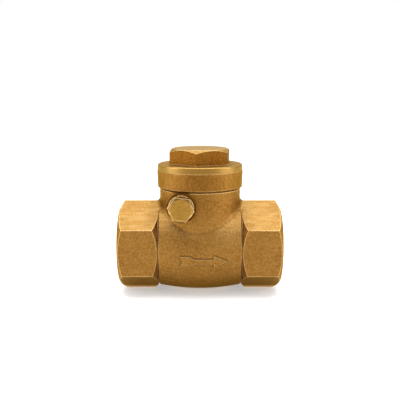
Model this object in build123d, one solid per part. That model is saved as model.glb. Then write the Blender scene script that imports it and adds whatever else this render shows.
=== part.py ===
from build123d import *
import math
import os

# Swing check valve, size 1/2, with a female pipe thread at each end, a screwed cap and a side plug.
# Millimetres. The origin is the centre of the inlet face, +X runs with the flow and +Z points up.
# Every thread is left as a plain cylinder at its major radius.

os.makedirs("parts", exist_ok=True)

# ---- pipe threads, G 1/2 ----
port_radius = 10.4775       # major radius of the thread
port_thread_height = 1.1624
port_depth = 13.0           # from the end face to the thread's bottom
port_chamfer = 0.45         # at the mouth
port_wall = 2.0225          # thread's major radius to the middle of a flat

# ---- the run: two hexagon ends and the belly between them ----
valve_length = 51.0         # inlet face to outlet face
end_flat_length = 12.4      # along the middle of a flat
end_face_land = 0.87        # flat ring on the end face, outside the mouth's chamfer
end_chamfer_angle = 30.0    # outer chamfer, from the end face
end_back_angle = 36.5       # chamfer that faces the belly, from the end face
groove_wall = 1.82          # thread's major radius to the bottom of the groove by the belly
groove_width = 0.55         # along the run, on the belly's side of the groove
belly_step = 0.55           # groove's bottom to the belly's end
belly_crown = 1.25          # how far the belly swells from its end to its middle

# ---- seat and waterways ----
seat_bore_radius = 6.4      # inlet waterway
seat_lip_width = 0.9        # of the raised seat
seat_lip_height = 0.5
seat_advance = 0.8          # seat's face ahead of the pin's axis, towards the inlet
outlet_bore_inset = 0.115   # thread's minor radius to the outlet bore, which reaches back to the seat

# ---- neck, chamber and spigot ----
neck_step = 1.43            # belly's middle to the neck, on the radius
neck_rise = 4.07            # hexagon's top corner to the shoulder under the cap
neck_blend = 1.8            # fillet where the neck meets the belly
web_blend = 1.3             # round corner where the neck meets the hexagon tops
web_drop = 1.5              # from a flat's radius down to where the corner's filling starts
web_inset = 0.02            # the filling's core inside the neck's surface
spigot_step = 1.07          # neck to the spigot, on the radius
spigot_height = 4.7         # above the shoulder
spigot_wall = 1.4           # spigot's major radius to the chamber
spigot_chamfer = 0.4
chamber_floor = 6.0         # below the run axis

# ---- cap ----
thread_clearance = 0.05     # between any two screwed cylinders, on the radius
gasket_thickness = 1.0
gasket_inset = 0.2          # chamber to the gasket's hole, on the radius
cap_wall = 1.8              # cap's thread to the outside
cap_top_wall = 2.0          # over the gasket
cap_skirt_gap = 0.25        # shoulder to the skirt's lower edge
cap_skirt_draft = 0.15      # the skirt is this much smaller at its lower edge
cap_skirt_chamfer = 0.4
cap_band_height = 1.8       # turned band below the flange's top
cap_band_step = 0.15        # the band is turned this much smaller
cap_edge_round = 0.5
cap_hex_flats = 17.8
cap_hex_height = 4.8
cap_hex_edge = 0.4          # flat's middle to the circle where the corner chamfer starts on the top
cap_hex_angle = -6.0        # turn of the hexagon about the neck's axis, in its tightened place
cap_hex_foot = 0.4          # fillet where the hexagon stands on the flange
cap_hollow_wall = 2.4       # a flat's middle to the hollow under the hexagon
cap_hollow_top_wall = 3.2

# ---- hinge pin and side plug ----
pin_setback = 5.7           # from the neck's axis towards the inlet
pin_drop = 4.5              # below the shoulder
pin_radius = 1.2
pin_clearance = 0.05        # on the radius
pin_land = 1.04             # length of the pin's hole through the front wall
pin_engagement = 1.35       # length of the pin in the far wall
pin_end_gap = 0.1           # at each end of the pin
boss_radius = 4.4
boss_stand = 0.685          # boss's face in front of the neck, at the plug's axis
plug_thread_radius = 2.5
plug_shank_relief = 0.3     # shank's end to the bottom of its hole
plug_flats = 7.0
plug_head_height = 2.8
plug_face_inset = 0.35      # flat's middle to the circle where the chamfer starts on the head's face
plug_hex_angle = -8.0       # turn of the hexagon about the plug's axis, in its tightened place
plug_washer_radius = 3.9
plug_washer_thickness = 0.4

# ---- swing arm ----
arm_boss_radius = 2.3
arm_side_play = 0.53        # between the boss's ends and the chamber
arm_thickness = 1.9
arm_eye_radius = 3.4
arm_half_width = 3.4        # below the boss
arm_knee = 0.8              # height of the bend above the disc's rim
arm_top_angle = 25.0        # where the web's two sides meet the boss, from +X about the pin
arm_front_angle = 240.0

# ---- disc and what is on it ----
seat_gap = 0.02             # between seat and rubber with the valve shut
seal_thickness = 1.3
seal_overlap = 0.15         # rubber past the seat's outside, on the radius
rim_clearance = 0.03        # between rim and rubber, on the radius
rim_wall = 0.22
rim_depth = 0.8             # how far the rim reaches over the rubber's edge
disc_thickness = 1.5
disc_arm_gap = 0.15         # play between disc and arm, and between arm and washer
stud_radius = 1.5
stud_clearance = 0.08       # on the radius
washer_radius = 3.0
washer_thickness = 0.4
nut_flats = 5.5
nut_height = 1.5
stud_stand_out = 0.2        # stud past the nut
plate_radius = 3.6
plate_thickness = 0.6
screw_radius = 1.25
screw_floor = 0.5           # disc left under the screw's hole
screw_end_gap = 0.1
screw_head_radius = 2.2
screw_head_height = 1.1
screw_slot_width = 0.6
screw_slot_depth = 0.5

# ---- raised arrow on the belly's front ----
arrow_start = -6.15         # along the run, from the neck's axis
arrow_end = 8.35
arrow_drop = 2.1            # below the run axis
arrow_relief = 0.35
arrow_tail_half = 1.62
arrow_head_half = 1.9
arrow_shaft_half = 0.75
arrow_tail_length = 4.2
arrow_tail_notch = 0.85
arrow_tail_taper = 1.0
arrow_head_length = 4.1

# ---- sizes that follow ----
hex_corner = 1 / math.cos(math.pi / 6)      # a hexagon's corner radius over its flat radius
end_flat = port_radius + port_wall          # half of the size across the flats
end_corner = end_flat * hex_corner
end_face_radius = port_radius + port_chamfer + end_face_land
groove_radius = port_radius + groove_wall
belly_end_radius = groove_radius + belly_step
belly_radius = belly_end_radius + belly_crown
belly_half = valve_length / 2 - end_flat_length
outlet_bore_radius = port_radius - port_thread_height - outlet_bore_inset
neck_radius = belly_radius - neck_step
spigot_radius = neck_radius - spigot_step
chamber_radius = spigot_radius - spigot_wall
cap_radius = spigot_radius + thread_clearance + cap_wall
seat_lip_radius = seat_bore_radius + seat_lip_width
seal_radius = seat_lip_radius + seal_overlap
disc_radius = seal_radius + rim_clearance + rim_wall
chamber_at_pin = math.sqrt(chamber_radius ** 2 - pin_setback ** 2)
boss_face = math.sqrt(neck_radius ** 2 - pin_setback ** 2) + boss_stand
plug_thread_depth = boss_face - chamber_at_pin - pin_land
plug_shank_length = plug_thread_depth - plug_shank_relief
pin_far_end = chamber_at_pin + pin_engagement
arm_boss_half_width = math.sqrt(chamber_radius ** 2 - (pin_setback + arm_boss_radius) ** 2) - arm_side_play

# ---- places that follow ----
centre_x = valve_length / 2
web_z = end_flat - web_drop
shoulder_z = end_corner + neck_rise
skirt_z = shoulder_z + cap_skirt_gap
spigot_z = shoulder_z + spigot_height
ceiling_z = spigot_z + gasket_thickness
flange_z = ceiling_z + cap_top_wall
cap_top_z = flange_z + cap_hex_height
pin_x = centre_x - pin_setback
pin_z = shoulder_z - pin_drop
seat_x = pin_x - seat_advance
seal_x = seat_x + seat_gap                  # rubber's front
disc_x = seal_x + seal_thickness            # disc's floor, under the rubber
disc_back_x = disc_x + disc_thickness
screw_end_x = disc_back_x - screw_floor - screw_end_gap
arm_x = disc_back_x + disc_arm_gap
arm_back_x = arm_x + arm_thickness
washer_x = arm_back_x + disc_arm_gap
nut_x = washer_x + washer_thickness
stud_end_x = nut_x + nut_height + stud_stand_out


def rod_x(radius, start, end, y=0.0, z=0.0):
    """A round bar along X."""
    plane = Plane(origin=(start, y, z), x_dir=(0, 1, 0), z_dir=(1, 0, 0))
    return extrude(plane * Circle(radius), end - start)


def rod_y(radius, start, end, x, z):
    """A round bar along Y."""
    plane = Plane(origin=(x, start, z), x_dir=(1, 0, 0), z_dir=(0, 1, 0))
    return extrude(plane * Circle(radius), end - start)


def rod_z(radius, start, end, x, y=0.0):
    """A round bar along Z."""
    return extrude(Plane.XY.offset(start) * Pos(x, y) * Circle(radius), end - start)


def turned(points, axis, plane):
    """A solid of revolution from a closed outline of straight lines."""
    return revolve(make_face(plane * Polyline(*points, close=True)), axis)


def neck_outline():
    """The plane of outlines that are turned about the neck's axis: first value radius, second height."""
    return Plane(origin=(centre_x, 0, 0), x_dir=(1, 0, 0), z_dir=(0, -1, 0))


def neck_axis():
    return Axis((centre_x, 0, 0), (0, 0, 1))


def end_hexagon(face_x, inward):
    """One hexagon end with a chamfer towards the pipe and one towards the belly, corners up and down."""
    flat, corner = end_flat, end_corner
    lip = math.tan(math.radians(end_chamfer_angle))
    back = math.tan(math.radians(end_back_angle))
    reach = 1.0                             # how far the turned outline stands past the corners
    root_x = end_flat_length + (flat - groove_radius) * back
    outline = [
        (0, 0),
        (0, end_face_radius),
        ((corner + reach - end_face_radius) * lip, corner + reach),
        (end_flat_length - (corner + reach - flat) * back, corner + reach),
        (root_x, groove_radius),
        (root_x, 0),
    ]
    points = [(face_x + inward * x, r) for x, r in outline]
    cone = turned(points, Axis.X, Plane.XZ)
    sketch = Plane.YZ * RegularPolygon(corner, 6, rotation=90)
    prism = Pos(min(face_x, face_x + inward * root_x) - reach, 0, 0) * extrude(sketch, root_x + 2 * reach)
    return prism & cone


def barrel_arc(half_length, radius_gain=0.0):
    """The outline of the belly, an arc turned about the run, out to half_length each side of the neck's axis."""
    run = belly_half - groove_width
    sagitta = belly_radius - belly_end_radius
    arc_radius = (run ** 2 + sagitta ** 2) / (2 * sagitta)
    end_r = belly_radius - arc_radius + math.sqrt(arc_radius ** 2 - half_length ** 2) + radius_gain
    left, right = centre_x - half_length, centre_x + half_length
    arc = ThreePointArc((left, end_r), (centre_x, belly_radius + radius_gain), (right, end_r))
    return arc + Polyline((right, end_r), (right, 0), (left, 0), (left, end_r))


def neck_blank(radius, top_z):
    """The neck before boring. Its seam line is turned to the front, clear of the corners by the hexagons."""
    return Pos(centre_x, 0, 0) * Rot(0, 0, 90) * extrude(Circle(radius), top_z)


def belly():
    """The barrel between the hexagons with the neck blended into it, made long and then cut off."""
    half = belly_half
    blank = revolve(make_face(Plane.XZ * barrel_arc(half + 3)), Axis.X) + neck_blank(neck_radius, shoulder_z)
    junction = [
        e for e in blank.edges()
        if e.geom_type not in (GeomType.CIRCLE, GeomType.LINE) and e.bounding_box().min.Z > 0
    ]
    blank = fillet(junction, neck_blend)
    blank &= Pos(centre_x, 0, 0) * Box(2 * half, 4 * belly_radius, 4 * shoulder_z)
    groove_depth = belly_end_radius - groove_radius
    groove = turned([
        (centre_x + half + 1, groove_radius),
        (centre_x + half, groove_radius),
        (centre_x + half - 1.5 * groove_width, groove_radius + 1.5 * groove_depth),
        (centre_x + half + 1, groove_radius + 1.5 * groove_depth),
    ], Axis.X, Plane.XZ)
    return blank - groove - groove.mirror(Plane.YZ.offset(centre_x))


def corner_webs():
    """The metal that closes the neck's corners against the hexagon tops, rounded at its foot on a core of the neck."""
    core_radius = neck_radius - web_inset
    core_top = (end_corner + 2 * web_blend + shoulder_z) / 2
    inner = core_radius * 0.4                # the webs start deep inside the neck
    outer = belly_half + (end_corner - end_flat) + 1
    reach = core_radius + 3 * web_blend      # the flat runs past the neck all round, and is cut back later
    fall = reach * math.tan(math.radians(30))
    flat = Plane.YZ * Polygon(
        (-reach, end_corner + fall), (-reach, 0), (reach, 0), (reach, end_corner - fall), align=None)
    blank = neck_blank(core_radius, end_corner + fall + 3 * web_blend)
    blank += Pos(centre_x, 0, 0) * extrude(flat, reach, both=True)
    blank = fillet(blank.edges().filter_by(GeomType.ELLIPSE), web_blend)
    quarter = blank & Pos(centre_x + inner, 0, web_z) * Box(
        outer - inner, end_flat, core_top - web_z, align=Align.MIN)
    half = quarter + quarter.mirror(Plane.XZ)
    return half + half.mirror(Plane.YZ.offset(centre_x))


def arrow():
    """The raised flow arrow: a fletched tail, a shaft and a head, on a skin just outside the belly."""
    shaft_start = arrow_start + arrow_tail_length
    head_start = arrow_end - arrow_head_length
    tail_x = [arrow_start, shaft_start - arrow_tail_taper, shaft_start]
    upper = [
        (tail_x[0], arrow_tail_half),
        (tail_x[1], arrow_tail_half),
        (tail_x[2], arrow_shaft_half),
        (head_start, arrow_shaft_half),
        (head_start, arrow_head_half),
        (arrow_end, 0),
    ]
    lower = [(x, -z) for x, z in reversed(upper[:-1])]
    points = upper + lower + [(arrow_start + arrow_tail_notch, 0)]
    plane = Plane(origin=(centre_x, 0, -arrow_drop), x_dir=(1, 0, 0), z_dir=(0, -1, 0))
    prism = extrude(make_face(plane * Polyline(*points, close=True)), 2 * belly_radius, dir=(0, -1, 0))
    half = max(-arrow_start, arrow_end) + 1
    skin = revolve(make_face(Plane.XZ * barrel_arc(half, arrow_relief)), Axis.X)
    core = rod_x(belly_end_radius - 1, centre_x - half, centre_x + half)
    return prism & (skin - core)


def make_body():
    """The forged body, bored and tapped."""
    shape = belly() + corner_webs() + end_hexagon(0, 1) + end_hexagon(valve_length, -1)
    shape += rod_y(boss_radius, -boss_face, -chamber_radius, pin_x, pin_z)
    shape += arrow()
    spigot = rod_z(spigot_radius, shoulder_z - 1, spigot_z, centre_x)
    shape += chamfer(spigot.edges().group_by(Axis.Z)[-1], spigot_chamfer)
    # spot face under the plug, pin holes, waterways and threads
    shape -= rod_y(boss_radius, -2 * boss_face, -boss_face, pin_x, pin_z)
    shape -= rod_y(plug_thread_radius, -boss_face - 1, -boss_face + plug_thread_depth, pin_x, pin_z)
    shape -= rod_y(pin_radius + pin_clearance, -boss_face, pin_far_end + pin_end_gap, pin_x, pin_z)
    shape -= rod_z(chamber_radius, -chamber_floor, spigot_z + 1, centre_x)
    shape -= rod_x(seat_bore_radius, port_depth - 1, centre_x)
    for face_x, inward in ((0, 1), (valve_length, -1)):
        mouth = [
            (face_x - inward, 0),
            (face_x - inward, port_radius + port_chamfer + 1),
            (face_x + inward * port_chamfer, port_radius),
            (face_x + inward * port_depth, port_radius),
            (face_x + inward * port_depth, 0),
        ]
        shape -= turned(mouth, Axis.X, Plane.XZ)
    outlet = rod_x(outlet_bore_radius, seat_x - seat_lip_height, valve_length)
    lip = rod_x(seat_lip_radius, seat_x - seat_lip_height, seat_x) - rod_x(seat_bore_radius, 0, seat_x)
    return shape - (outlet - lip)


def make_cap():
    """The screwed cap: a turned skirt and flange with a hexagon on top, hollow inside."""
    band_r = cap_radius - cap_band_step
    band_z = flange_z - cap_band_height
    low_r = cap_radius - cap_skirt_draft
    outline = [
        (0, skirt_z),
        (low_r - cap_skirt_chamfer, skirt_z),
        (low_r, skirt_z + cap_skirt_chamfer),
        (cap_radius, band_z - cap_band_step),
        (band_r, band_z),
        (band_r, flange_z),
        (0, flange_z),
    ]
    ring = turned(outline, neck_axis(), neck_outline())
    ring = fillet(ring.edges().group_by(Axis.Z)[-1], cap_edge_round)
    corner = cap_hex_flats / 2 * hex_corner
    top_r = cap_hex_flats / 2 - cap_hex_edge
    drop = (corner - top_r) * math.tan(math.radians(30))
    sketch = Plane.XY.offset(flange_z) * Pos(centre_x, 0) * RegularPolygon(corner, 6, rotation=30 + cap_hex_angle)
    crown = [
        (0, flange_z),
        (corner + 1, flange_z),
        (corner + 1, cap_top_z - drop - math.tan(math.radians(30))),
        (top_r, cap_top_z),
        (0, cap_top_z),
    ]
    hexagon = extrude(sketch, cap_hex_height) & turned(crown, neck_axis(), neck_outline())
    shape = ring + hexagon
    foot = [
        e for e in shape.edges()
        if e.geom_type == GeomType.LINE
        and abs(e.center().Z - flange_z) < 1e-3 and abs(e.bounding_box().size.Z) < 1e-3
    ]
    shape = fillet(foot, cap_hex_foot)
    shape -= rod_z(spigot_radius + thread_clearance, skirt_z - 1, ceiling_z, centre_x)
    return shape - rod_z(cap_hex_flats / 2 - cap_hollow_wall, ceiling_z - 1, cap_top_z - cap_hollow_top_wall, centre_x)


def make_cap_gasket():
    ring = rod_z(spigot_radius - thread_clearance, spigot_z, ceiling_z, centre_x)
    return ring - rod_z(chamber_radius + gasket_inset, spigot_z - 1, ceiling_z + 1, centre_x)


def make_pin_plug():
    """The side plug: a chamfered hexagon head and a threaded shank."""
    head_back = -boss_face - plug_washer_thickness
    head_front = head_back - plug_head_height
    corner = plug_flats / 2 * hex_corner
    face_r = plug_flats / 2 - plug_face_inset
    drop = (corner - face_r) * math.tan(math.radians(30))
    plane = Plane(origin=(pin_x, head_back, pin_z), x_dir=(1, 0, 0), z_dir=(0, -1, 0))
    prism = extrude(plane * RegularPolygon(corner, 6, rotation=plug_hex_angle), plug_head_height)
    crown = [
        (0, 0),
        (corner + 1, 0),
        (corner + 1, plug_head_height - drop - math.tan(math.radians(30))),
        (face_r, plug_head_height),
        (0, plug_head_height),
    ]
    side = Plane(origin=(pin_x, head_back, pin_z), x_dir=(1, 0, 0), z_dir=(0, 0, 1))
    crown = [(r, -depth) for r, depth in crown]
    cone = turned(crown, Axis((pin_x, 0, pin_z), (0, 1, 0)), side)
    shank = rod_y(plug_thread_radius - thread_clearance, head_back, -boss_face + plug_shank_length, pin_x, pin_z)
    return (prism & cone) + shank


def make_plug_washer():
    ring = rod_y(plug_washer_radius, -boss_face - plug_washer_thickness, -boss_face, pin_x, pin_z)
    return ring - rod_y(plug_thread_radius, -boss_face - 1, -boss_face + 1, pin_x, pin_z)


def make_hinge_pin():
    start = -boss_face + plug_shank_length + pin_end_gap
    pin = rod_y(pin_radius, start, pin_far_end, pin_x, pin_z)
    return chamfer(pin.edges().filter_by(GeomType.CIRCLE), pin_radius / 5)


def make_swing_arm():
    """The arm: a bored boss on the pin, a bent web, and an eye round the disc's stud."""
    knee_z = disc_radius + arm_knee
    top = math.radians(arm_top_angle)
    front = math.radians(arm_front_angle)
    web = [
        (arm_x, -arm_eye_radius),
        (arm_x, knee_z),
        (pin_x + arm_boss_radius * math.cos(front), pin_z + arm_boss_radius * math.sin(front)),
        (pin_x, pin_z),
        (pin_x + arm_boss_radius * math.cos(top), pin_z + arm_boss_radius * math.sin(top)),
        (arm_back_x, knee_z + arm_thickness * math.tan(math.radians(35))),
        (arm_back_x, -arm_eye_radius),
    ]
    side = Plane(origin=(0, -arm_half_width, 0), x_dir=(1, 0, 0), z_dir=(0, -1, 0))
    plate = extrude(make_face(side * Polyline(*web, close=True)), 2 * arm_half_width, dir=(0, 1, 0))
    eye = rod_x(arm_eye_radius, pin_x - arm_boss_radius, arm_back_x)
    upper = Pos((pin_x + arm_back_x) / 2, 0, pin_z / 2) * Box(
        2 * arm_boss_radius + 2 * abs(arm_back_x - pin_x), 2 * arm_half_width, pin_z)
    above = Pos((pin_x + arm_back_x) / 2, 0, pin_z + arm_boss_radius) * Box(
        2 * arm_boss_radius + 2 * abs(arm_back_x - pin_x), 2 * arm_half_width, 2 * arm_boss_radius)
    shape = plate & (eye + upper + above)
    shape += rod_y(arm_boss_radius, -arm_boss_half_width, arm_boss_half_width, pin_x, pin_z)
    shape -= rod_y(pin_radius + pin_clearance, -chamber_radius, chamber_radius, pin_x, pin_z)
    return shape - rod_x(stud_radius + stud_clearance, arm_x - 1, arm_back_x + 1)


def make_disc():
    """The disc: a cup for the rubber on the seat's side and a stud on the arm's side."""
    shape = rod_x(disc_radius, disc_x - rim_depth, disc_back_x)
    shape -= rod_x(seal_radius + rim_clearance, disc_x - rim_depth - 1, disc_x)
    shape += rod_x(stud_radius, disc_back_x, stud_end_x)
    return shape - rod_x(screw_radius + thread_clearance, disc_x - 1, screw_end_x + screw_end_gap)


def make_disc_seal():
    ring = rod_x(seal_radius, seal_x, disc_x)
    return ring - rod_x(screw_radius + thread_clearance, seal_x - 1, disc_x + 1)


def make_seal_washer():
    ring = rod_x(plate_radius, seal_x - plate_thickness, seal_x)
    return ring - rod_x(screw_radius + thread_clearance, seal_x - 2, seal_x + 1)


def make_seal_screw():
    """Slotted pan head screw through plate and rubber into the disc."""
    head_x = seal_x - plate_thickness
    head = rod_x(screw_head_radius, head_x - screw_head_height, head_x)
    head = fillet(head.edges().group_by(Axis.X)[0], screw_head_height / 2)
    slot = Pos(head_x - screw_head_height, 0, 0) * Box(2 * screw_slot_depth, 3 * screw_head_radius, screw_slot_width)
    return head - slot + rod_x(screw_radius, head_x, screw_end_x)


def make_disc_washer():
    ring = rod_x(washer_radius, washer_x, nut_x)
    return ring - rod_x(stud_radius + thread_clearance, washer_x - 1, nut_x + 1)


def make_disc_nut():
    corner = nut_flats / 2 * hex_corner
    nut = Pos(nut_x, 0, 0) * extrude(Plane.YZ * RegularPolygon(corner, 6), nut_height)
    return nut - rod_x(stud_radius + thread_clearance, nut_x - 1, stud_end_x + 1)


makers = {
    "body": make_body,
    "cap": make_cap,
    "cap_gasket": make_cap_gasket,
    "pin_plug": make_pin_plug,
    "plug_washer": make_plug_washer,
    "hinge_pin": make_hinge_pin,
    "swing_arm": make_swing_arm,
    "disc": make_disc,
    "disc_seal": make_disc_seal,
    "seal_washer": make_seal_washer,
    "seal_screw": make_seal_screw,
    "disc_washer": make_disc_washer,
    "disc_nut": make_disc_nut,
}
for node, make in makers.items():
    export_step(make(), f"parts/{node}.step")
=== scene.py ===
import math

import bpy
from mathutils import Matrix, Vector


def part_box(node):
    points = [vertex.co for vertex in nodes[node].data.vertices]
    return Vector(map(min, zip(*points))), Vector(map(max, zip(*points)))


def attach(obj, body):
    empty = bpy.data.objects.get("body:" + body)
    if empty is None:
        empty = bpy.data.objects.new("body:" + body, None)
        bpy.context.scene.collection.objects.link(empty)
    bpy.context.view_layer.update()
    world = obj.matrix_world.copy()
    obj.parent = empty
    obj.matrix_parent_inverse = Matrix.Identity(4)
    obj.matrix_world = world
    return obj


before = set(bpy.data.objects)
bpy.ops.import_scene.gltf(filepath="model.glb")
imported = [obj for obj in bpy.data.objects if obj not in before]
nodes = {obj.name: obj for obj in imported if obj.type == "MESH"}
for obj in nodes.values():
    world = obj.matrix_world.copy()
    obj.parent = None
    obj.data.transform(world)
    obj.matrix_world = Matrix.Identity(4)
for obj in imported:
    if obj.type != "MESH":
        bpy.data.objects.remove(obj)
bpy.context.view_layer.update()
bpy.ops.object.select_all(action="DESELECT")


# The valve body is one brass forging, blasted all over with fine shot, so it has an even satin grain.
# The two ports, the seat and the end faces are turned afterwards and are smoother and brighter, and
# every sharp edge is rubbed bright from handling.
body_low, body_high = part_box("body")
cap_low, cap_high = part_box("cap")
washer_low, washer_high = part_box("plug_washer")
centre_x = (body_low.x + body_high.x) / 2
pin_x = (washer_low.x + washer_high.x) / 2
pin_z = (washer_low.z + washer_high.z) / 2

forged_colour = (0.33, 0.156, 0.029, 1)
forged_dark = (0.22, 0.098, 0.016, 1)
# The next two are a painted highlight on faces that look up and painted shade on faces that look down.
forged_top_highlight = (0.335, 0.215, 0.080, 1)
forged_under_shade = (0.11, 0.040, 0.004, 1)
forged_pale = (0.62, 0.39, 0.125, 1)
forged_fleck = (0.47, 0.270, 0.082, 1)
forged_pit = (0.15, 0.064, 0.010, 1)
# A tint multiplied in for a deeper tone and for painted shade.
deep_tone_and_shade_tint = (0.70, 0.58, 0.35, 1)
turned_colour = (0.40, 0.245, 0.072, 1)
turned_dark = (0.20, 0.110, 0.024, 1)
# The colour of rubbed edges, also painted into tight creases as a glow of bounced light.
worn_edge_and_bounce_colour = (0.86, 0.60, 0.26, 1)
# Painted shade, for the feet of corners, thread roots, a chamfer and darkened edges.
painted_shade_colour = (0.10, 0.040, 0.006, 1)
brass_graze = (0.84, 0.68, 0.42, 1)

grain_scale = 5200
dimple_scale = 1900
mottle_scale = 170
streak_scale = 1300
ripple_scale = 1500
port_ring_scale = 4200
level_lines = (0.14, 0.14, 1.0)  # how fine the faint lines are on each axis, so that they lie level

crease_reach = 0.0016           # how far a tight crease's painted glow reaches
foot_reach = 0.0007             # how far painted shade reaches out of a corner
wear_reach = 0.00035            # width of a rubbed edge
edge_round = 0.00016
blast_depth = 0.0001

bore_radius = 0.0107            # metal inside this radius is turned
bore_from = 0.0062              # from the valve's middle to the turned bore
end_land = 0.00012              # depth of the turned end face
front_from = -0.004             # y of the metal that counts as the front
plug_shadow_radii = (0.0040, 0.0062)   # radii between which the painted shadow round the plug fades
plug_shadow_shift = (0.0007, 0.0005)
plug_foot = (0.0050, 0.0056)
arrow_shift = 0.0011            # arrow's middle past the valve's middle
arrow_drop = 0.0021
arrow_ends = (0.0076, 0.0080)
arrow_sides = (0.0022, 0.0026)
# How dark the arrow's edges are painted, as shade.
arrow_edge_shade = 0.68
shoulder_depth = 0.001          # shoulder under the cap, below the skirt's lower edge
# How dark the shoulder's edges under the skirt are painted, as shade.
shoulder_edge_shade = 0.25
patch_shift = 0.0085            # rippled patch, past the valve's middle
patch_height = 0.0060
patch_fade = (0.001, 0.0060)
# Where the painted shade on the neck starts, and how the painted shade on neck and skirt eases off
# sideways.
neck_foot = (0.0100, 0.0135)
middle_shade_fade = (0.0025, 0.0105)


def put(tree, kind, inputs=None, **settings):
    """Adds one shader node, sets its settings, and sets or links its inputs."""
    made = tree.nodes.new(kind)
    for key, value in settings.items():
        setattr(made, key, value)
    for key, value in (inputs or {}).items():
        if isinstance(value, bpy.types.NodeSocket):
            tree.links.new(value, made.inputs[key])
        else:
            made.inputs[key].default_value = value
    return made


def maths(tree, operation, *values):
    """One Math node on one, two or three numbers or sockets."""
    return put(tree, "ShaderNodeMath", dict(enumerate(values)), operation=operation).outputs[0]


def times(tree, first, *others):
    """The product of two or more numbers or sockets."""
    for other in others:
        first = maths(tree, "MULTIPLY", first, other)
    return first


def less(tree, first, second):
    """The first number less the second."""
    return maths(tree, "SUBTRACT", first, second)


def away(tree, value, centre):
    """How far a coordinate is from a place, either way."""
    return maths(tree, "ABSOLUTE", less(tree, value, centre))


def from_axis(tree, first, second, first_at=0.0, second_at=0.0):
    """Distance from an axis, from the two coordinates across it and the axis's own place."""
    across = less(tree, first, first_at), less(tree, second, second_at)
    return maths(tree, "SQRT", maths(tree, "ADD", *[times(tree, side, side) for side in across]))


def spread(tree, value, low, high, to_low, to_high):
    """Takes a number from one range to another, and holds it inside the second."""
    inputs = {"Value": value, "From Min": low, "From Max": high, "To Min": to_low, "To Max": to_high}
    return put(tree, "ShaderNodeMapRange", inputs, clamp=True).outputs[0]


def mixed(tree, share, first, second, blend="MIX"):
    """Mixes two colours, or lays the second over the first."""
    inputs = {"Factor": share, 6: first, 7: second}
    return put(tree, "ShaderNodeMix", inputs, data_type="RGBA", blend_type=blend).outputs[2]


def noise(tree, vector, scale, detail=2.0, rough=0.5, finer=None):
    """Cloudy noise in the piece's own metres, so many times finer on each axis if finer is given."""
    if finer:
        vector = put(tree, "ShaderNodeMapping", {"Vector": vector, "Scale": finer}).outputs[0]
    inputs = {"Vector": vector, "Scale": scale, "Detail": detail, "Roughness": rough}
    return put(tree, "ShaderNodeTexNoise", inputs).outputs[0]


def openness(tree, reach, inside=False):
    """1 where nothing is near, down to 0 in a corner. Taken inside the metal, it finds thin edges."""
    near = put(tree, "ShaderNodeAmbientOcclusion", {"Distance": reach}, samples=8, inside=inside)
    return near.outputs["AO"]


def tool_rings(tree, along, radius, scale):
    """The fine rings a lathe tool leaves round a bore or a rim."""
    ring_place = put(tree, "ShaderNodeCombineXYZ", {0: along, 1: radius}).outputs[0]
    return noise(tree, ring_place, scale, 1.0, 0.4)


def new_finish(name):
    """An empty material with a Principled shader and the piece's own coordinates."""
    material = bpy.data.materials.new(name)
    material.use_nodes = True
    tree = material.node_tree
    shader = tree.nodes["Principled BSDF"]
    place = put(tree, "ShaderNodeTexCoord").outputs["Object"]
    return material, tree, shader, place


def make_metal(shader, graze=None):
    """Bare metal, which keeps its own colour at a grazing angle if one is given."""
    shader.inputs["Metallic"].default_value = 1.0
    if graze:
        shader.inputs["Specular Tint"].default_value = graze


def lay(tree, shader, colour, rough, height, strength, depth, rounding=None):
    """Joins colour, roughness and a bump to the shader, with edges softened to the rounding's radius."""
    tree.links.new(colour, shader.inputs["Base Color"])
    tree.links.new(rough, shader.inputs["Roughness"])
    inputs = {"Height": height, "Strength": strength, "Distance": depth}
    if rounding:
        inputs["Normal"] = put(tree, "ShaderNodeBevel", {"Radius": rounding}, samples=6).outputs[0]
    tree.links.new(put(tree, "ShaderNodeBump", inputs).outputs[0], shader.inputs["Normal"])


def dress(finish, *names):
    """Gives the pieces of these names their finish."""
    for name in names:
        nodes[name].data.materials.clear()
        nodes[name].data.materials.append(finish)


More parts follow.
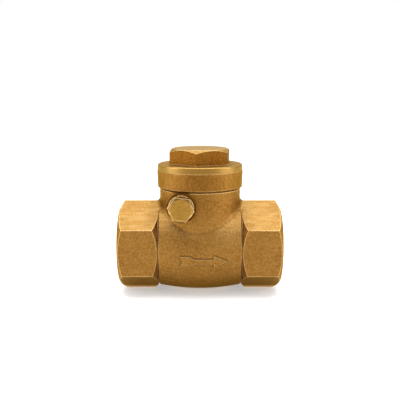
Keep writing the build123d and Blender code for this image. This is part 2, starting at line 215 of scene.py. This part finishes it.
def blasted_brass(name, machined, rings, deeper, lines, pale_colour):
    """Shot-blasted forged brass, with turned metal where the function machined says 1. The function deeper
    says where it is deeper or in painted shade, where its edges are darkened, and where it is paler or
    rippled, and the faint lines lie as the triple lines says."""
    material, tree, shader, place = new_finish(name)
    x, y, z = put(tree, "ShaderNodeSeparateXYZ", {0: place}).outputs
    normal = put(tree, "ShaderNodeTexCoord").outputs["Normal"]
    facing = put(tree, "ShaderNodeSeparateXYZ", {0: normal}).outputs["Z"]
    turned = machined(tree, x, y, z)
    unturned = less(tree, 1.0, turned)
    ring = rings(tree, x, y, z)
    grain = noise(tree, place, grain_scale, 3.0, 0.62)
    dimple = noise(tree, place, dimple_scale, 2.0, 0.6)
    mottle = noise(tree, place, mottle_scale, 3.0, 0.55)
    streak = noise(tree, place, streak_scale, 2.0, 0.55, lines)

    # The blasted skin: cloudy, with painted highlight on top, painted shade underneath, faint lines, flecks
    # and pits.
    colour = mixed(tree, spread(tree, mottle, 0.34, 0.66, 0.0, 1.0), forged_dark, forged_colour)
    colour = mixed(tree, spread(tree, facing, 0.3, 0.86, 0.0, 1.0), colour, forged_top_highlight)
    colour = mixed(tree, spread(tree, facing, -0.85, -0.45, 0.7, 0.0), colour, forged_under_shade)
    colour = mixed(tree, spread(tree, streak, 0.38, 0.62, 0.0, 0.65), colour, forged_dark)
    colour = mixed(tree, spread(tree, dimple, 0.40, 0.62, 0.0, 0.42), colour, forged_fleck)
    colour = mixed(tree, spread(tree, grain, 0.38, 0.62, 0.0, 0.5), colour, forged_pit)

    # Turned metal over it, then the deeper tone and painted shade, and the paler places.
    ringed = mixed(tree, spread(tree, ring, 0.35, 0.65, 0.0, 0.8), turned_colour, turned_dark)
    colour = mixed(tree, turned, colour, ringed)
    depth, darkened_edges, pale, rippled = deeper(tree, x, y, z, facing)
    colour = mixed(tree, depth, colour, deep_tone_and_shade_tint, "MULTIPLY")
    colour = mixed(tree, pale, colour, pale_colour)

    # A tight crease is given a painted glow of bounced light, and painted shade lines the very foot of a
    # corner.
    foot = openness(tree, foot_reach)
    crease_glow = times(tree, spread(tree, openness(tree, crease_reach), 0.35, 0.72, 0.85, 0.0), unturned)
    crease_glow = times(tree, crease_glow, less(tree, 1.0, darkened_edges))
    colour = mixed(tree, crease_glow, colour, worn_edge_and_bounce_colour)
    corner_shade = times(tree, spread(tree, foot, 0.62, 0.985, 1.0, 0.0), spread(tree, foot, 0.4, 0.6, 0.0, 1.0))
    colour = mixed(tree, times(tree, corner_shade, unturned), colour, painted_shade_colour)

    # Edges are rubbed bright, except where they are darkened: painted shade at plug, arrow and shoulder,
    # and the cap's sides.
    worn = openness(tree, wear_reach, inside=True)
    rubbed = times(tree, spread(tree, worn, 0.6, 0.95, 1.0, 0.0), spread(tree, dimple, 0.35, 0.6, 0.6, 1.0))
    darkened_edge = times(tree, rubbed, darkened_edges)
    rubbed = less(tree, rubbed, darkened_edge)
    colour = mixed(tree, darkened_edge, colour, painted_shade_colour)
    colour = mixed(tree, rubbed, colour, worn_edge_and_bounce_colour)

    rough = less(tree, spread(tree, mottle, 0.3, 0.7, 0.42, 0.52), times(tree, turned, 0.15))
    rough = less(tree, rough, times(tree, rubbed, 0.08))
    pitted = maths(tree, "ADD", times(tree, grain, 0.5), times(tree, dimple, 1.6))
    pitted = maths(tree, "ADD", pitted, times(tree, streak, 0.9))
    pitted = maths(tree, "ADD", pitted, times(tree, noise(tree, place, ripple_scale, 1.0, 0.4), rippled))
    skins = {"Factor": turned, 2: pitted, 3: times(tree, ring, 0.35)}
    height = put(tree, "ShaderNodeMix", skins).outputs[0]
    make_metal(shader, brass_graze)
    lay(tree, shader, colour, rough, height, 0.8, blast_depth, edge_round)
    return material


def body_machined(tree, x, y, z):
    """1 inside the two ports and on the two end faces."""
    from_middle = away(tree, x, centre_x)
    in_bore = maths(tree, "LESS_THAN", from_axis(tree, y, z), bore_radius)
    bore = times(tree, in_bore, maths(tree, "GREATER_THAN", from_middle, bore_from))
    face = maths(tree, "GREATER_THAN", from_middle, centre_x - end_land)
    return maths(tree, "MAXIMUM", bore, face)


def body_rings(tree, x, y, z):
    """Tool rings about the run."""
    return tool_rings(tree, x, from_axis(tree, y, z), port_ring_scale)


def middle_shade(tree, x, middle, flank):
    """Painted shade that is deepest in the middle of the round neck and cap and eases off towards their
    flanks.
    """
    return spread(tree, away(tree, x, centre_x), *middle_shade_fade, middle, flank)


def body_deeper(tree, x, y, z, facing):
    """A painted shadow round the pin plug's foot and painted shade on the neck, edges painted dark as
    shade at the plug, on the arrow and on the shoulder, and a patch that is paler and rippled."""
    front = maths(tree, "LESS_THAN", y, front_from)
    # A painted shadow round the plug, reaching further to its upper right, and painted shade on the neck.
    shadow_x, shadow_z = pin_x + plug_shadow_shift[0], pin_z + plug_shadow_shift[1]
    plug_shadow = spread(tree, from_axis(tree, x, z, shadow_x, shadow_z), *plug_shadow_radii, 0.75, 0.0)
    neck = times(tree, middle_shade(tree, x, 0.40, 0.0), spread(tree, z, *neck_foot, 0.0, 1.0))
    depth = maths(tree, "MAXIMUM", times(tree, plug_shadow, front), neck)

    # Edges painted dark as shade at the plug's foot, on the arrow and on the shoulder under the skirt.
    foot = spread(tree, from_axis(tree, x, z, pin_x, pin_z), *plug_foot, 1.0, 0.0)
    arrow = times(tree, spread(tree, away(tree, x, centre_x + arrow_shift), *arrow_ends, arrow_edge_shade, 0.0),
                  spread(tree, away(tree, z, -arrow_drop), *arrow_sides, 1.0, 0.0))
    shoulder = times(tree, maths(tree, "GREATER_THAN", z, cap_low.z - shoulder_depth), shoulder_edge_shade)
    darkened_edges = maths(tree, "MAXIMUM", times(tree, maths(tree, "MAXIMUM", foot, arrow), front), shoulder)

    patch = spread(tree, from_axis(tree, x, z, centre_x + patch_shift, patch_height), *patch_fade, 1.0, 0.0)
    patch = times(tree, patch, front)
    return depth, darkened_edges, times(tree, patch, 0.14), times(tree, patch, 2.0)


body_finish = blasted_brass("forged_brass_blasted", body_machined, body_rings, body_deeper, level_lines,
                            forged_pale)
dress(body_finish, "body")


# The cap is a forging of the same brass with a hexagon on top. Its rim is turned bright on the lathe in a
# narrow band above the blasted skirt, and the inside is bored and threaded.
rim_top = cap_low.z + 0.00745
band_height = 0.0018
rim_radius = 0.0128
cap_bore_radius = 0.01175
cap_bore_height = 0.0057
cap_ring_scale = 5200
cap_top_sheen = (0.50, 0.40, 0.25, 1)
upright_lines = (1.0, 1.0, 0.2)
band_end = rim_top + 0.0001
hexagon_from = rim_top + 0.0003
cap_top_from = cap_high.z - 0.0002


def cap_machined(tree, x, y, z):
    """1 on the rim's turned band, and inside the skirt."""
    radius = from_axis(tree, x, y, centre_x)
    above = maths(tree, "GREATER_THAN", z, rim_top - band_height)
    below = maths(tree, "LESS_THAN", z, band_end)
    band = times(tree, above, below, maths(tree, "GREATER_THAN", radius, rim_radius))
    bored = times(tree, maths(tree, "LESS_THAN", radius, cap_bore_radius),
                  maths(tree, "LESS_THAN", z, cap_low.z + cap_bore_height))
    return maths(tree, "MAXIMUM", band, bored)


def cap_rings(tree, x, y, z):
    """Tool rings about the neck."""
    return tool_rings(tree, z, from_axis(tree, x, y, centre_x), cap_ring_scale)


def cap_deeper(tree, x, y, z, facing):
    """Full on the hexagon's sides, whose edges are darkened, and deepest in the middle of the skirt as
    painted shade. The top is paler, as a painted sheen."""
    hexagon = maths(tree, "GREATER_THAN", z, hexagon_from)
    sides = times(tree, hexagon, maths(tree, "LESS_THAN", facing, 0.25))
    # Painted shade down the middle of the skirt.
    skirt = times(tree, maths(tree, "LESS_THAN", z, rim_top), middle_shade(tree, x, 0.72, 0.08))
    # The paler top is a painted sheen.
    top = times(tree, maths(tree, "GREATER_THAN", z, cap_top_from), 0.3)
    return maths(tree, "MAXIMUM", sides, skirt), sides, top, 0.0


cap_finish = blasted_brass("cap_brass_blasted", cap_machined, cap_rings, cap_deeper, upright_lines,
                           cap_top_sheen)
dress(cap_finish, "cap")


# The pin plug is a small screw turned from drawn hexagon bar, with a thin brass washer under its head. The
# bar's skin is smooth and a little greener than the forging, and its corners shine.
plug_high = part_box("pin_plug")[1]
plug_colour = (0.25, 0.130, 0.021, 1)
plug_light = (0.34, 0.185, 0.036, 1)
bar_edge = (0.96, 0.69, 0.32, 1)
bar_line_scale = 900
bar_cloud_scale = 420
bar_grain_scale = 6500
bar_wear_reach = 0.0004
bar_edge_round = 0.00007
bar_depth = 0.00003
chamfer_from = (0.00300, 0.00322)
chamfer_shade_rise = (pin_z - 0.0005, pin_z + 0.0015)


def drawn_brass(name, dark, light, finer, edge_shine, chamfer=None):
    """Smooth bar brass with faint lines, long on the axis where finer is least, and painted shade on a
    chamfer.
    """
    material, tree, shader, place = new_finish(name)
    lines = noise(tree, place, bar_line_scale, 3.0, 0.6, finer)
    cloud = noise(tree, place, bar_cloud_scale, 2.0, 0.5)
    grain = noise(tree, place, bar_grain_scale, 2.0, 0.5)
    colour = mixed(tree, spread(tree, lines, 0.35, 0.65, 0.0, 1.0), dark, light)
    colour = mixed(tree, spread(tree, cloud, 0.4, 0.7, 0.0, 0.35), colour, dark)
    if chamfer:
        colour = mixed(tree, chamfer(tree, place), colour, painted_shade_colour)
    worn = openness(tree, bar_wear_reach, inside=True)
    colour = mixed(tree, spread(tree, worn, 0.66, 0.93, edge_shine, 0.0), colour, bar_edge)
    rough = spread(tree, cloud, 0.3, 0.7, 0.30, 0.42)
    height = maths(tree, "ADD", times(tree, lines, 0.6), times(tree, grain, 0.4))
    make_metal(shader, brass_graze)
    lay(tree, shader, colour, rough, height, 0.35, bar_depth, bar_edge_round)
    return material


def plug_chamfer(tree, place):
    """Painted shade that stays on the upper half of the head's chamfer, outside the turned face."""
    x, y, z = put(tree, "ShaderNodeSeparateXYZ", {0: place}).outputs
    outside = spread(tree, from_axis(tree, x, z, pin_x, pin_z), *chamfer_from, 0.0, 0.75)
    return times(tree, outside, spread(tree, z, *chamfer_shade_rise, 0.0, 1.0))


plug_finish = drawn_brass("drawn_hexagon_brass", plug_colour, plug_light, (0.6, 0.15, 2.6), 1.0,
                          plug_chamfer)
dress(plug_finish, "pin_plug", "plug_washer")


# The clapper is a stamped brass arm on a steel pin. It carries a turned brass disc on a stud and nut. The
# disc has a black rubber facing, held by a steel washer and screw, that meets the seat.
arm_dark, arm_light = (0.50, 0.26, 0.06, 1), (0.66, 0.38, 0.11, 1)
disc_dark, disc_light = (0.58, 0.32, 0.08, 1), (0.74, 0.46, 0.15, 1)
steel_dark, steel_light = (0.46, 0.45, 0.43, 1), (0.66, 0.65, 0.62, 1)
rubber_dark, rubber_light = (0.012, 0.012, 0.013, 1), (0.035, 0.034, 0.033, 1)
inner_shine = 0.6
steel_line_scale = 2600
steel_cloud_scale = 500
steel_depth = 0.00002
rubber_skin_scale = 3200
rubber_bloom_scale = 260
rubber_depth = 0.00003


def turned_steel(name, finer):
    """Bright steel with fine turning lines."""
    material, tree, shader, place = new_finish(name)
    lines = noise(tree, place, steel_line_scale, 2.0, 0.6, finer)
    cloud = noise(tree, place, steel_cloud_scale, 2.0, 0.5)
    colour = mixed(tree, spread(tree, lines, 0.35, 0.65, 0.0, 1.0), steel_dark, steel_light)
    make_metal(shader)
    lay(tree, shader, colour, spread(tree, cloud, 0.3, 0.7, 0.24, 0.36), lines, 0.3, steel_depth)
    return material


dress(drawn_brass("stamped_arm_brass", arm_dark, arm_light, (1.0, 1.0, 0.3), inner_shine), "swing_arm")
disc_finish = drawn_brass("turned_disc_brass", disc_dark, disc_light, (3.0, 0.5, 0.5), inner_shine)
dress(disc_finish, "disc", "disc_nut")
dress(turned_steel("turned_pin_steel", (0.3, 2.0, 0.3)), "hinge_pin")
dress(turned_steel("turned_screw_steel", (2.0, 0.6, 0.6)), "seal_washer", "seal_screw", "disc_washer")

rubber, tree, shader, place = new_finish("moulded_black_rubber")
skin = noise(tree, place, rubber_skin_scale, 3.0, 0.6)
bloom = noise(tree, place, rubber_bloom_scale, 2.0, 0.5)
colour = mixed(tree, spread(tree, bloom, 0.4, 0.7, 0.0, 1.0), rubber_dark, rubber_light)
lay(tree, shader, colour, spread(tree, bloom, 0.3, 0.7, 0.52, 0.68), skin, 0.4, rubber_depth)
dress(rubber, "disc_seal")


# The cap's gasket is a flat ring punched from pressed fibre sheet, pale and matt, with short fibres that
# show on its edge.
fibre_dark, fibre_light = (0.52, 0.49, 0.42, 1), (0.74, 0.71, 0.63, 1)
fibre_stain = (0.60, 0.55, 0.45, 1)
fibre_scale = 1500
fibre_tone_scale = 300
fibre_depth = 0.00006
gasket, tree, shader, place = new_finish("pressed_fibre_gasket")
fibres = noise(tree, place, fibre_scale, 4.0, 0.7, (1.0, 0.35, 2.2))
tone = noise(tree, place, fibre_tone_scale, 2.0, 0.5)
colour = mixed(tree, spread(tree, fibres, 0.35, 0.65, 0.0, 1.0), fibre_dark, fibre_light)
colour = mixed(tree, spread(tree, tone, 0.4, 0.7, 0.0, 0.3), colour, fibre_stain)
lay(tree, shader, colour, spread(tree, fibres, 0.3, 0.7, 0.75, 0.92), fibres, 0.6, fibre_depth)
dress(gasket, "cap_gasket")


# Both ports have a parallel half-inch pipe thread, cut with a tool of 55 degrees, 1.814 mm from crest to
# crest. The ridges stand in from the bore and are cut off square at the mouth and at the end of the run.
pipe_pitch = 0.001814
pipe_major = 0.0104775
pipe_minor = 0.009315
pipe_sink = 0.00004             # the ridge is set this far into the wall
pipe_turns = 9
port_mouth = 0.0005
port_run = 0.0125
thread_steps = 56
root_share = 0.88               # of the pitch, at the ridge's root
crest_share = 0.22              # of the root, at its crest
cut_dark, cut_light = (0.56, 0.30, 0.075, 1), (0.76, 0.47, 0.16, 1)
cut_ring_scale = 5200
cut_cloud_scale = 380
cut_reach = 0.001
cut_depth = 0.00002


def screw_ridge(name, wall, crest, pitch, turns, steps):
    """One helical ridge about +Z from z = 0, from a four-sided profile that is swept by Screw."""
    bpy.ops.object.select_all(action="DESELECT")
    middle = (wall + crest) / 2
    bpy.ops.mesh.primitive_plane_add(size=1, location=(middle, 0, 0), rotation=(math.pi / 2, 0, 0))
    ridge = bpy.context.object
    ridge.name = name
    ridge.scale = (abs(wall - crest), pitch * root_share, 1)
    bpy.ops.object.transform_apply(location=True, rotation=True, scale=True)
    bpy.ops.object.mode_set(mode="EDIT")
    bpy.ops.mesh.select_all(action="DESELECT")
    bpy.ops.object.mode_set(mode="OBJECT")
    for vertex in ridge.data.vertices:
        vertex.select = abs(vertex.co.x - crest) < abs(vertex.co.x - wall)
    bpy.ops.object.mode_set(mode="EDIT")
    bpy.ops.transform.resize(value=(1, 1, crest_share), center_override=(crest, 0, 0))
    bpy.ops.object.mode_set(mode="OBJECT")
    sweep = ridge.modifiers.new("sweep", "SCREW")
    sweep.axis = "Z"
    sweep.angle = 2 * math.pi
    sweep.screw_offset = pitch
    sweep.iterations = turns
    sweep.steps = steps
    sweep.render_steps = steps
    bpy.ops.object.modifier_apply(modifier=sweep.name)
    return ridge


def trim_ridge(ridge, cuts):
    """Cuts the ridge off at each plane, closes the cut, and turns the faces outwards."""
    bpy.ops.object.mode_set(mode="EDIT")
    for point, normal in cuts:
        bpy.ops.mesh.select_all(action="SELECT")
        bpy.ops.mesh.bisect(plane_co=point, plane_no=normal, use_fill=True, clear_outer=True)
    bpy.ops.mesh.select_all(action="SELECT")
    bpy.ops.mesh.remove_doubles(threshold=0.000001)
    bpy.ops.mesh.normals_make_consistent(inside=False)
    bpy.ops.object.mode_set(mode="OBJECT")
    bpy.ops.object.shade_smooth_by_angle(angle=math.radians(25))


def thread_brass(name, about, along):
    """Cut brass with rings that follow the thread's own axis."""
    material, tree, shader, place = new_finish(name)
    axes = put(tree, "ShaderNodeSeparateXYZ", {0: place}).outputs
    first, second = [i for i in range(3) if i != along]
    radius = from_axis(tree, axes[first], axes[second], about[first], about[second])
    ring = tool_rings(tree, axes[along], radius, cut_ring_scale)
    cloud = noise(tree, place, cut_cloud_scale, 2.0, 0.5)
    colour = mixed(tree, spread(tree, ring, 0.3, 0.7, 0.0, 1.0), cut_dark, cut_light)
    # Painted shade in the thread's roots and corners.
    corner_shade = spread(tree, openness(tree, cut_reach), 0.2, 0.8, 0.7, 0.0)
    colour = mixed(tree, corner_shade, colour, painted_shade_colour)
    make_metal(shader, brass_graze)
    lay(tree, shader, colour, spread(tree, cloud, 0.3, 0.7, 0.26, 0.38), ring, 0.3, cut_depth)
    return material


port_thread_finish = thread_brass("cut_port_thread_brass", (0, 0, 0), 0)
for name, face_x, inward in (("inlet_port_thread", body_low.x, 1), ("outlet_port_thread", body_high.x, -1)):
    thread = screw_ridge(name, pipe_major + pipe_sink, pipe_minor + pipe_sink, pipe_pitch, pipe_turns,
                         thread_steps)
    thread.rotation_euler = (0, inward * math.pi / 2, 0)
    thread.location = (face_x - inward * pipe_pitch, 0, 0)
    bpy.ops.object.transform_apply(location=True, rotation=True, scale=True)
    trim_ridge(thread, [((face_x + inward * port_mouth, 0, 0), (-inward, 0, 0)),
                        ((face_x + inward * port_run, 0, 0), (inward, 0, 0))])
    thread.data.materials.append(port_thread_finish)
    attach(thread, "valve_body")


# The cap screws on a fine thread of 1 mm pitch. The spigot's ridge stands out from its wall into the cap's
# thread, and the cap's ridge stands in from its skirt. Each is hidden in the other until the cap comes off.
cap_pitch = 0.001
spigot_wall = 0.01160
skirt_gap = 0.00025             # the spigot starts this far under the skirt's lower edge
gasket_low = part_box("cap_gasket")[0]
spigot_root, spigot_crest = spigot_wall - 0.00005, spigot_wall + 0.00045
spigot_start, spigot_end = cap_low.z - skirt_gap + 0.0007, gasket_low.z - 0.0005
skirt_root, skirt_crest = spigot_wall + 0.00010, spigot_wall - 0.00035
skirt_start, skirt_end = cap_low.z + 0.0004, gasket_low.z - 0.0006
neck_thread_finish = thread_brass("cut_cap_thread_brass", (centre_x, 0, 0), 2)
for name, wall, crest, low, high, body in (
        ("spigot_thread", spigot_root, spigot_crest, spigot_start, spigot_end, "valve_body"),
        ("cap_inner_thread", skirt_root, skirt_crest, skirt_start, skirt_end, "bonnet_cap")):
    turns = int((high - low) / cap_pitch) + 3
    thread = screw_ridge(name, wall, crest, cap_pitch, turns, thread_steps)
    thread.location = (centre_x, 0, low - cap_pitch)
    bpy.ops.object.transform_apply(location=True, rotation=True, scale=True)
    trim_ridge(thread, [((0, 0, low), (0, 0, -1)), ((0, 0, high), (0, 0, 1))])
    thread.data.materials.append(neck_thread_finish)
    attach(thread, body)


# The plug's shank has a metric thread of 0.8 mm pitch. It shows only when the plug is drawn out.
plug_pitch = 0.0008
shank_radius = 0.0025
shank_root, shank_crest = shank_radius - 0.00005, shank_radius + 0.0003
shank_plain = 0.0003            # left without a ridge at each end
shank_start, shank_end = washer_high.y + shank_plain, plug_high.y - shank_plain
shank_turns = int((shank_end - shank_start) / plug_pitch) + 3
shank_steps = 40
plug_thread_finish = thread_brass("cut_plug_thread_brass", (pin_x, 0, pin_z), 1)
thread = screw_ridge("plug_shank_thread", shank_root, shank_crest, plug_pitch, shank_turns, shank_steps)
thread.rotation_euler = (-math.pi / 2, 0, 0)
thread.location = (pin_x, shank_start - plug_pitch, pin_z)
bpy.ops.object.transform_apply(location=True, rotation=True, scale=True)
trim_ridge(thread, [((0, shank_start, 0), (0, -1, 0)), ((0, shank_end, 0), (0, 1, 0))])
thread.data.materials.append(plug_thread_finish)
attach(thread, "pin_plug_screw")


# The stage: a white sweep that the valve stands on, a broad soft light overhead, a smaller and weaker one
# at each side, and a plain white room.
sweep_size = 6
sweep_shade = (0.66, 0.66, 0.66, 1)
sweep_glow = 0.34               # only as the camera and the brass see it, so that the sweep reads as white
white = (1, 1, 1, 1)
bpy.ops.object.select_all(action="DESELECT")
bpy.ops.mesh.primitive_plane_add(size=sweep_size, location=(centre_x, 1.0, body_low.z))
floor = bpy.context.object
floor.name = "floor"
bpy.ops.object.transform_apply(location=True, rotation=True, scale=True)
paper = bpy.data.materials.new("white_paper")
paper.use_nodes = True
tree = paper.node_tree
shader = tree.nodes["Principled BSDF"]
shader.inputs["Roughness"].default_value = 0.9
shader.inputs["Specular IOR Level"].default_value = 0.0
shader.inputs["Base Color"].default_value = sweep_shade
ray = put(tree, "ShaderNodeLightPath").outputs
seen = maths(tree, "MAXIMUM", ray["Is Glossy Ray"], ray["Is Transmission Ray"])
seen = maths(tree, "MAXIMUM", ray["Is Camera Ray"], seen)
shader.inputs["Emission Color"].default_value = white
tree.links.new(times(tree, seen, sweep_glow), shader.inputs["Emission Strength"])
floor.data.materials.append(paper)

world = bpy.data.worlds.new("white_room")
bpy.context.scene.world = world
world.use_nodes = True
tree = world.node_tree
tree.nodes["Background"].inputs["Color"].default_value = white
tree.nodes["Background"].inputs["Strength"].default_value = 1.0

for name, place, aim, size, power in (
        ("overhead_soft", (0.0, 0.05, 0.45), (0.0, 0.0, 0.0), 0.55, 3.0),
        ("left_soft", (-0.40, -0.10, 0.12), (0.0, 0.0, 0.01), 0.30, 0.85),
        ("right_soft", (0.40, -0.10, 0.12), (0.0, 0.0, 0.01), 0.30, 0.85)):
    lamp_data = bpy.data.lights.new(name, "AREA")
    lamp_data.shape = "SQUARE"
    lamp_data.size = size
    lamp_data.energy = power
    lamp = bpy.data.objects.new(name, lamp_data)
    bpy.context.scene.collection.objects.link(lamp)
    lamp.location = (centre_x + place[0], place[1], place[2])
    toward = Vector((centre_x + aim[0], aim[1], aim[2])) - lamp.location
    lamp.rotation_euler = toward.to_track_quat("-Z", "Y").to_euler()

camera_back = 0.1886
camera_height = 0.0470
camera_tilt = 11.6              # degrees down from level
camera_data = bpy.data.cameras.new("camera")
camera_data.lens = 54
camera_data.sensor_width = 36
camera_data.shift_y = 0.0475
camera_data.clip_start = 0.005
camera = bpy.data.objects.new("camera", camera_data)
bpy.context.scene.collection.objects.link(camera)
camera.location = (centre_x, -camera_back, camera_height)
camera.rotation_euler = (math.radians(90 - camera_tilt), 0, 0)
bpy.context.scene.camera = camera
bpy.context.scene.view_settings.view_transform = "Standard"
